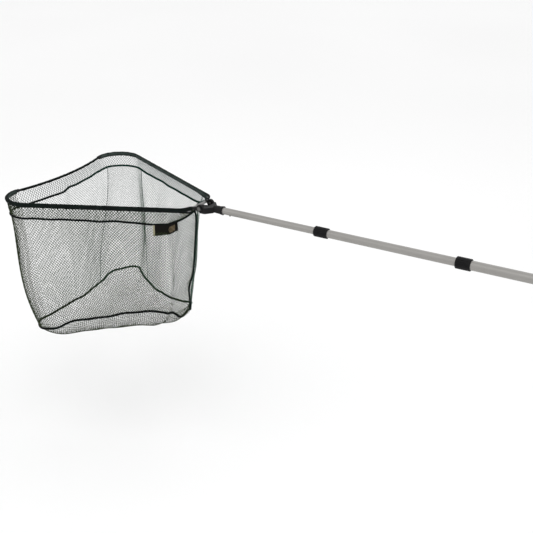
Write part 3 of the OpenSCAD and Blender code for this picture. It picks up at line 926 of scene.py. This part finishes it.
def hems():
    arm = np.vstack([
        elbow_curve(), resampled([RUN_START, CORNER_START], 60)[1:],
        [corner_point(t) for t in np.linspace(0.02, CORNER_TURN - 0.02, 50)]])
    front = np.array([CORD_CENTRE + CORD_R * heading(t)
                      for t in np.linspace(-CORD_HALF, CORD_HALF, 90)])
    hem("far_hem_sleeve", lifted(arm), HEM_R, 0.0024, (0.0055, 0.045, 0.038), "far_hem",
        21, -1)
    hem("near_hem_sleeve", lifted(arm * [1, -1]), HEM_R + 0.0003, 0.0024, (0.007, 0, 0.024),
        "near_hem", 22, 1)
    hem("front_hem_sleeve", lifted(front), FRONT_HEM_R, 0.0015, (0, 0, 1), "front_hem",
        23, -1)


hems()

# ---- grip ----------------------------------------------------------------------

FOAM_BORE = 0.0124
FOAM_SHOULDER = 0.0030
FOAM_CROWN = 0.0004
GROOVES_FROM_END = (0.014, 0.021, 0.028)
GROOVE_DEPTH, GROOVE_WIDTH = 0.0008, 0.0011
SQUEEZE_MARKS = 0.0001


def grip_foam():
    """Foam sleeve of the grip: round shoulders, a light crown, grooves and squeeze marks."""
    low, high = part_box("grip_sleeve")
    middle, half = (low.x + high.x) / 2, (high.x - low.x) / 2
    rows, sides = 200, 56
    along = np.linspace(-1, 1, rows) * half
    from_end = half - np.abs(along)
    over = np.clip(FOAM_SHOULDER - from_end, 0, None)
    shoulder = FOAM_SHOULDER - np.sqrt(np.clip(FOAM_SHOULDER ** 2 - over ** 2, 0, None))
    groove = sum(hump(from_end, at, GROOVE_WIDTH) for at in GROOVES_FROM_END)
    crown = FOAM_CROWN * (1 - (along / half) ** 2)
    around = np.linspace(0, 2 * math.pi, sides, endpoint=False)
    x = along[:, None]
    marks = SQUEEZE_MARKS * (np.sin(91 * x + 3 * around) * np.sin(37 * x - 2 * around)
                             + 0.6 * np.sin(143 * x + 5 * around + 1.0))
    r = (high.z - shoulder - GROOVE_DEPTH * groove + crown)[:, None] + (
        marks * (from_end > FOAM_SHOULDER + 0.001)[:, None])
    ring = np.stack([np.cos(around), np.sin(around)], 1)
    outer = np.concatenate([np.full((rows, sides, 1), middle) + x[..., None],
                            r[..., None] * ring[None]], 2)
    inner = np.concatenate([outer[..., :1], np.full((rows, sides, 1), FOAM_BORE) * ring[None]],
                           2)
    n = rows * sides
    wall = tube_faces(rows, sides, False)
    k = np.arange(sides)
    rim = np.column_stack([k, (k + 1) % sides, (k + 1) % sides + n, k + n])
    far_rim = rim[:, ::-1] + (rows - 1) * sides
    sleeve = new_piece("grip_foam_sleeve", np.concatenate([outer.reshape(-1, 3),
                                                           inner.reshape(-1, 3)]),
                       np.vstack([wall[:, ::-1], wall + n, rim, far_rim]), FOAM)
    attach(sleeve, "grip")
    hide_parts("grip_sleeve")


grip_foam()

# ---- spring behind the button --------------------------------------------------


LEAF_THICK = 0.0008
LEAF_BEND = 0.0012


def button_leaf():
    """Leaf spring folded in a V over the button, which closes as the button goes in."""
    low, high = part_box("button_spring")
    size = high - low
    count = 60
    bottom, top = low.z + LEAF_THICK / 2, high.z - LEAF_THICK / 2
    spine = resampled([
        [low.x + 0.36 * size.x, bottom], [low.x + 0.645 * size.x, bottom],
        [high.x - LEAF_BEND, low.z + 0.70 * size.z],
        [high.x - LEAF_THICK / 2, low.z + 0.78 * size.z],
        [high.x - LEAF_BEND, low.z + 0.86 * size.z], [low.x, top]], count)
    path = np.column_stack([spine[:, 0], np.full(count, (low.y + high.y) / 2), spine[:, 1]])
    side = np.tile([0.0, 1.0, 0.0], (count, 1))
    along = np.gradient(path, axis=0)
    along /= np.linalg.norm(along, axis=1)[:, None]
    strip = np.array([[1, 1], [-1, 1], [-1, -1], [1, -1]]) * [size.y / 2, LEAF_THICK / 2]
    rings = tube_rings(path, side, np.cross(along, side), strip).reshape(-1, 3)
    leaf = new_piece("button_leaf_spring", rings,
                     np.vstack([tube_faces(count, 4, False), end_caps(count, 4)]), RIVET,
                     False)
    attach(leaf, "front")
    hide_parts("button_spring")
    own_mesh(leaf)


button_leaf()

# ---- tag -----------------------------------------------------------------------

TAG_WIDTH, TAG_HEIGHT, TAG_THICK = 0.078, 0.030, 0.0009
TAG_COLUMNS, TAG_ROWS = 34, 14
TAG_START = ring_at((RUN_START - 0.002 * heading(ARM_HEADING)) * [1, -1])


def joined_threads(name, paths, radius, material):
    """Several short round threads of the tag as one piece."""
    sides = 6
    around = np.linspace(0, 2 * math.pi, sides, endpoint=False)
    circle = np.stack([np.cos(around), np.sin(around)], 1) * radius
    points, faces, count = [], [], 0
    for path in paths:
        side, rise = frames_along(path, up=(0.3, 0.9, 0.1))
        points.append(tube_rings(path, side, rise, circle).reshape(-1, 3))
        n = len(path)
        faces.append(np.vstack([tube_faces(n, sides, False), end_caps(n, sides)]) + count)
        count += n * sides
    piece = new_piece(name, np.vstack(points), np.vstack(faces), material)
    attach(piece, "head")


def tag_middle():
    """The tag's middle surface as a (columns, rows) grid, and the way out of the bag for
    each column. It hangs from the upper seam, lower at its front end."""
    u, v = np.linspace(0, 1, TAG_COLUMNS), np.linspace(0, 1, TAG_ROWS)
    at = TAG_START + u * TAG_WIDTH / RING_LEN
    out = on_ring(OUT, at)
    fall = TAG_HEIGHT * (0.88 + 0.24 * u)[:, None] * v
    stand_off = 0.0032 + 0.0012 * np.sin(3.1 * v)[None, :, None]
    grid = (on_ring(SEAM, at)[:, None] + out[:, None] * stand_off
            - np.array([0, 0, 1]) * fall[..., None])
    curl = 0.0016 * np.sin(5 * u + 0.6)[:, None, None] * v[None, :, None]
    return grid + out[:, None] * curl, out


def tag_cloth_piece(grid, out):
    columns, rows = TAG_COLUMNS, TAG_ROWS
    front = (grid + out[:, None] * TAG_THICK / 2).reshape(-1, 3)
    back = (grid - out[:, None] * TAG_THICK / 2).reshape(-1, 3)
    n = columns * rows
    cell = np.array([[i * rows + j, (i + 1) * rows + j, (i + 1) * rows + j + 1, i * rows + j + 1]
                     for i in range(columns - 1) for j in range(rows - 1)])
    border = ([(i, 0) for i in range(columns)] + [(columns - 1, j) for j in range(1, rows)]
              + [(i, rows - 1) for i in range(columns - 2, -1, -1)]
              + [(0, j) for j in range(rows - 2, 0, -1)])
    index = [i * rows + j for i, j in border]
    rim = [[a + n, b + n, b, a] for a, b in zip(index, index[1:] + index[:1])]
    faces = np.vstack([cell, cell[:, ::-1] + n, rim])
    piece = new_piece("label_tag_cloth", np.vstack([front, back]), faces, TAG)
    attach(piece, "head")
    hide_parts("label_tag")


def tag():
    """A cloth tag sewn under the upper seam on the near side, with a patch of wavy gold
    threads and an overcast edge."""
    grid, out = tag_middle()
    tag_cloth_piece(grid, out)

    def on_tag(s, t, lift=0.0006):
        """Points at shares s along and t down the tag, lift metres off its middle."""
        i, j = s * (TAG_COLUMNS - 1), t * (TAG_ROWS - 1)
        i0 = np.clip(np.floor(i).astype(int), 0, TAG_COLUMNS - 2)
        j0 = np.clip(np.floor(j).astype(int), 0, TAG_ROWS - 2)
        fi, fj = (i - i0)[:, None], (j - j0)[:, None]
        p = (grid[i0, j0] * (1 - fi) * (1 - fj) + grid[i0 + 1, j0] * fi * (1 - fj)
             + grid[i0, j0 + 1] * (1 - fi) * fj + grid[i0 + 1, j0 + 1] * fi * fj)
        return p + on_ring(OUT, TAG_START + s * TAG_WIDTH / RING_LEN) * lift

    down = np.linspace(0.22, 0.80, 24)
    waves = [on_tag(0.14 + 0.035 * k + 0.012 * np.sin(12 * down + k), down) for k in range(9)]
    joined_threads("label_tag_motif", waves, 0.00075, GOLD)

    down = np.linspace(0.02, 0.98, 10)
    edge = [on_tag(np.full(10, s), down) for s in (0.955, 0.985)]
    edge += [on_tag(np.linspace(0.93, 1.0, 6), np.full(6, 0.04 + 0.09 * k), 0.0009)
             for k in range(11)]
    joined_threads("label_tag_edge", edge, 0.0006, PALE)


tag()

# ---- floor, light and world ----------------------------------------------------

FLOOR_BELOW = 0.30
FLOOR_HALF = 30.0
WORLD_STRENGTH = 1.0
LIT_POINT = Vector((-1.1, 0, -0.1))
LAMPS = (    # name, place, watts, size
    ("key", (-0.2, -1.6, 2.4), 9, 1.8), ("fill", (-2.6, -1.4, 1.6), 4, 1.8),
    ("back", (-1.2, 2.2, 1.8), 4, 2.0))


def studio():
    corners = [(x * FLOOR_HALF, y * FLOOR_HALF, cad_box[0].z - FLOOR_BELOW)
               for x, y in ((-1, -1), (1, -1), (1, 1), (-1, 1))]
    pale = Shader("floor_pale", Roughness=0.9)
    grain = pale.noise(0.5, pale.place(), 1.0)
    pale.colour(pale.ramp(grain, [(0.2, (0.93, 0.93, 0.93)), (0.8, (0.96, 0.96, 0.96))]))
    floor = new_piece("floor", corners, [[0, 1, 2, 3]], pale.material, False)

    world = bpy.data.worlds.new("studio")
    world.use_nodes = True
    sky = world.node_tree.nodes["Background"]
    sky.inputs["Color"].default_value = (1, 1, 1, 1)
    sky.inputs["Strength"].default_value = WORLD_STRENGTH
    bpy.context.scene.world = world

    for name, place, power, size in LAMPS:
        data = bpy.data.lights.new(name, "AREA")
        data.energy = power
        data.size = size
        lamp = bpy.data.objects.new(name, data)
        lamp.location = place
        lamp.rotation_euler = (LIT_POINT - Vector(place)).to_track_quat("-Z", "Y").to_euler()
        bpy.context.scene.collection.objects.link(lamp)


studio()
bpy.context.scene.view_settings.view_transform = "Standard"
